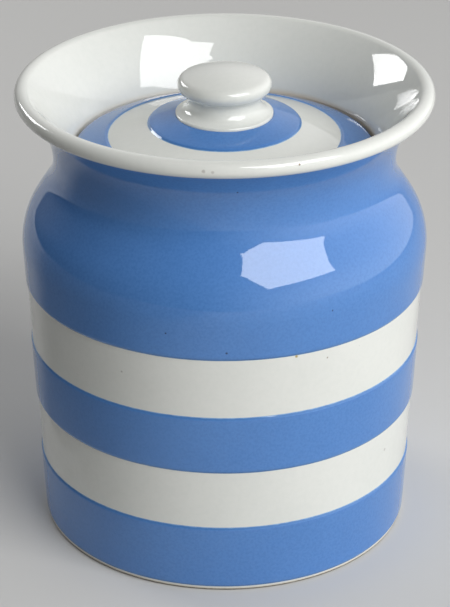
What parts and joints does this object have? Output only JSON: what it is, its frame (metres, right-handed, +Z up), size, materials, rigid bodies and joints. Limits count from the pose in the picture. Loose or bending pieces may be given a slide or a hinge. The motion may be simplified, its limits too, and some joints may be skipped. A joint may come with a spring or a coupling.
{
  "type": "biscuit jar",
  "caption": "Round glazed earthenware jar with slip bands and a flared mouth, closed by a lid that sits down in the neck on a ledge and lifts off by a mushroom knob.",
  "frame": {"origin": "centre of the foot, on the plane that the jar stands on", "axes": "+Z up along the axis that every piece is turned about; X and Y are free, because the jar is round"},
  "size_m": [0.1682, 0.1682, 0.1962],
  "materials": {
    "white_glazed_clay": "white earthenware under a clear gloss glaze",
    "blue_glazed_slip": "mottled blue slip under a clear gloss glaze"
  },
  "bodies": {
    "jar": {"jar_body": "white_glazed_clay", "foot_band": "blue_glazed_slip", "middle_band": "blue_glazed_slip", "shoulder_band": "blue_glazed_slip"},
    "lid": {"lid_disc": "white_glazed_clay", "lid_outer_ring": "blue_glazed_slip", "lid_inner_ring": "blue_glazed_slip", "lid_knob": "white_glazed_clay"}
  },
  "joints": [
    {"name": "lid_lift", "type": "slide", "parent": "jar", "child": "lid", "axis": [0, 0, 1], "range_m": [0, 0.06]}
  ]
}
